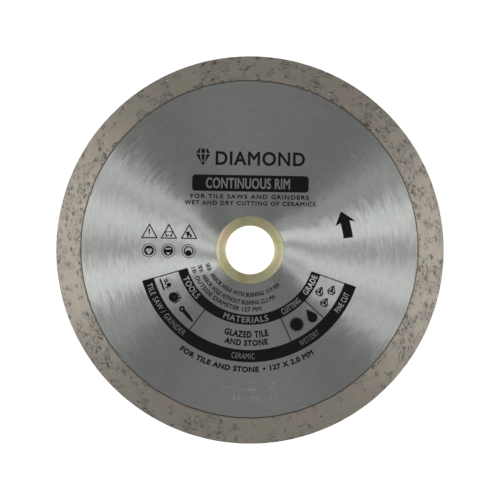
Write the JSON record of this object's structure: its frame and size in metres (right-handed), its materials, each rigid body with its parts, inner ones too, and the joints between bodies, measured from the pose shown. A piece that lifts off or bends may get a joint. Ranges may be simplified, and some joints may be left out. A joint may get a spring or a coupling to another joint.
{
  "type": "diamond blade",
  "caption": "Flat round saw blade for tile and stone with a continuous diamond rim, a ground steel core with a printed face and a push-in reducing bushing in its arbor hole.",
  "frame": {"origin": "on the blade's axis at half its thickness", "axes": "+Z along the axis, out of the printed face; +Y towards the top of the print"},
  "size_m": [0.1272, 0.1272, 0.002],
  "materials": {
    "ground_steel": "ground round the axis, satin, bare",
    "sintered_bond": "sintered metal bond, dressed flat, fine open pores",
    "diamond_grit": "small yellowish crystals, sparkling",
    "yellow_zinc_steel": "yellow zinc passivate, satin, slightly iridescent",
    "black_ink": "pad-printed black ink, semi-matt"
  },
  "bodies": {
    "blade": {"steel_core": "ground_steel", "diamond_rim": "sintered_bond", "diamond_grit_front": "diamond_grit", "diamond_grit_back": "diamond_grit", "diamond_grit_edge": "diamond_grit", "print_emblem": "black_ink", "print_wordmark": "black_ink", "print_banner": "black_ink", "print_caption_lines": "black_ink", "print_triangle_signs": "black_ink", "print_ring_signs": "black_ink", "print_rotation_arrow": "black_ink", "print_panel_bands": "black_ink", "print_panel_lines": "black_ink", "print_tool_icons": "black_ink", "print_material_words": "black_ink", "print_burst_and_drop": "black_ink", "print_gems": "black_ink", "print_size_arcs": "black_ink", "print_footer": "black_ink"},
    "bushing": {"reducing_bushing": "yellow_zinc_steel"}
  },
  "joints": [
    {"name": "bushing_slide", "type": "slide", "parent": "blade", "child": "bushing", "axis": [0, 0, 1], "range_m": [-0.006, 0.006]}
  ]
}
